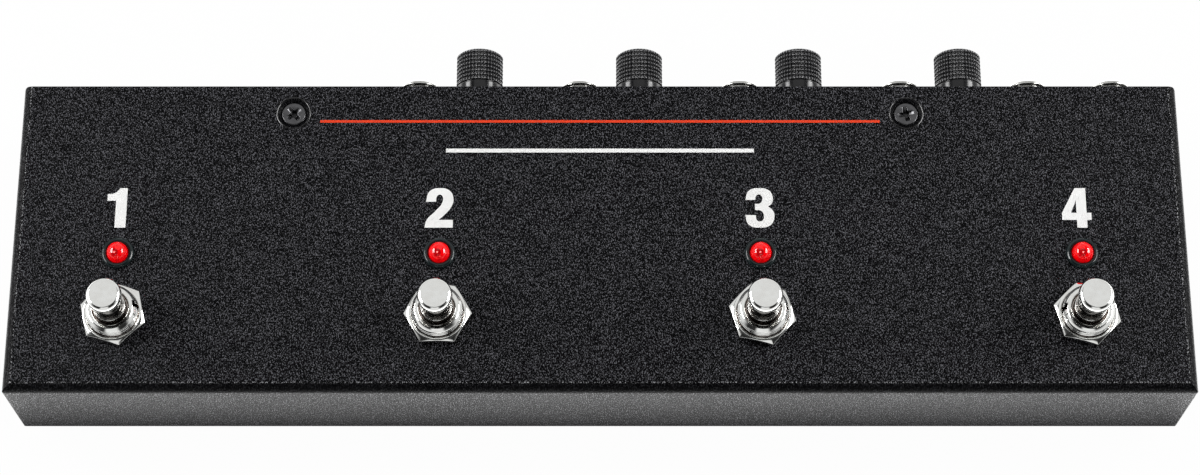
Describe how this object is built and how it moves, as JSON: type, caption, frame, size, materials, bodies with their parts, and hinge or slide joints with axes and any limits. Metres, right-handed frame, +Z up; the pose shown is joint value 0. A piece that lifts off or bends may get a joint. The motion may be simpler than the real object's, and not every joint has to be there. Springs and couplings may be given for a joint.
{
  "type": "amp selector pedal",
  "caption": "Floor pedal that switches guitar amplifiers: folded steel case with footswitches and lamps on top, knurled knobs and jack sockets on the rear panel.",
  "frame": {"origin": "on the floor, under the middle of the whole part's box, knobs included", "axes": "+X along the case to the player's right, +Y from the player towards the rear panel, +Z up"},
  "size_m": [0.2794, 0.0914, 0.0485],
  "materials": {
    "case_black": "black powder coat with a fine leather grain",
    "screw_black": "black oxide, satin",
    "foot_rubber": "matt moulded rubber",
    "bright_nickel": "polished nickel plate",
    "plated_steel": "zinc plate",
    "spring_steel": "drawn wire",
    "housing_black": "moulded nylon",
    "bezel_black": "glossy moulded plastic",
    "lens_red": "clear red lamp",
    "knob_black": "glossy moulded knob with a knurl",
    "shaft_aluminium": "turned",
    "contact_brass": "stamped and tinned",
    "board_green": "green solder mask on glass fibre",
    "relay_white": "moulded case",
    "core_brown": "lacquered winding and core",
    "cable_grey": "flat ribbon cable"
  },
  "bodies": {
    "case": {"base_screws": "screw_black", "base_tray": "case_black", "board_screws": "plated_steel", "cover_screws": "screw_black", "foot_screws": "plated_steel", "input_jack": "housing_black", "jack_nuts": "bright_nickel", "jack_sleeves": "bright_nickel", "lamp_1": "lens_red", "lamp_2": "lens_red", "lamp_3": "lens_red", "lamp_4": "lens_red", "lamp_bezels": "bezel_black", "main_board": "board_green", "output_jack_1": "housing_black", "output_jack_2": "housing_black", "output_jack_3": "housing_black", "output_jack_4": "housing_black", "pot_1": "housing_black", "pot_2": "housing_black", "pot_3": "housing_black", "pot_4": "housing_black", "pot_nuts": "plated_steel", "power_inlet": "housing_black", "relays": "relay_white", "ribbon_cable": "cable_grey", "rubber_feet": "foot_rubber", "standoffs": "contact_brass", "switch_board": "board_green", "switch_bushing_1": "bright_nickel", "switch_bushing_2": "bright_nickel", "switch_bushing_3": "bright_nickel", "switch_bushing_4": "bright_nickel", "switch_contacts": "contact_brass", "switch_housing_1": "housing_black", "switch_housing_2": "housing_black", "switch_housing_3": "housing_black", "switch_housing_4": "housing_black", "switch_inner_nuts": "plated_steel", "switch_lock_washers": "plated_steel", "switch_nuts": "bright_nickel", "switch_spring_1": "spring_steel", "switch_spring_2": "spring_steel", "switch_spring_3": "spring_steel", "switch_spring_4": "spring_steel", "top_cover": "case_black", "transformers": "core_brown", "tuner_jack": "housing_black"},
    "button_1": {"switch_plunger_1": "bright_nickel"},
    "dial_1": {"knob_1": "knob_black", "pot_shaft_1": "shaft_aluminium"},
    "button_2": {"switch_plunger_2": "bright_nickel"},
    "dial_2": {"knob_2": "knob_black", "pot_shaft_2": "shaft_aluminium"},
    "button_3": {"switch_plunger_3": "bright_nickel"},
    "dial_3": {"knob_3": "knob_black", "pot_shaft_3": "shaft_aluminium"},
    "button_4": {"switch_plunger_4": "bright_nickel"},
    "dial_4": {"knob_4": "knob_black", "pot_shaft_4": "shaft_aluminium"}
  },
  "joints": [
    {"name": "press_1", "type": "slide", "parent": "case", "child": "button_1", "axis": [0, 0, -1], "range_m": [0, 0.0035], "stiffness_N_per_m": 1500, "springref_m": -0.002, "deforming": ["switch_spring_1"]},
    {"name": "press_2", "type": "slide", "parent": "case", "child": "button_2", "axis": [0, 0, -1], "range_m": [0, 0.0035], "stiffness_N_per_m": 1500, "springref_m": -0.002, "deforming": ["switch_spring_2"]},
    {"name": "press_3", "type": "slide", "parent": "case", "child": "button_3", "axis": [0, 0, -1], "range_m": [0, 0.0035], "stiffness_N_per_m": 1500, "springref_m": -0.002, "deforming": ["switch_spring_3"]},
    {"name": "press_4", "type": "slide", "parent": "case", "child": "button_4", "axis": [0, 0, -1], "range_m": [0, 0.0035], "stiffness_N_per_m": 1500, "springref_m": -0.002, "deforming": ["switch_spring_4"]},
    {"name": "turn_1", "type": "hinge", "parent": "case", "child": "dial_1", "pos_m": [-0.02985, 0.0312, 0.0184], "axis": [0, 1, 0], "range_deg": [-150, 150]},
    {"name": "turn_2", "type": "hinge", "parent": "case", "child": "dial_2", "pos_m": [0.0097, 0.0312, 0.0184], "axis": [0, 1, 0], "range_deg": [-150, 150]},
    {"name": "turn_3", "type": "hinge", "parent": "case", "child": "dial_3", "pos_m": [0.04925, 0.0312, 0.0184], "axis": [0, 1, 0], "range_deg": [-150, 150]},
    {"name": "turn_4", "type": "hinge", "parent": "case", "child": "dial_4", "pos_m": [0.0888, 0.0312, 0.0184], "axis": [0, 1, 0], "range_deg": [-150, 150]}
  ]
}
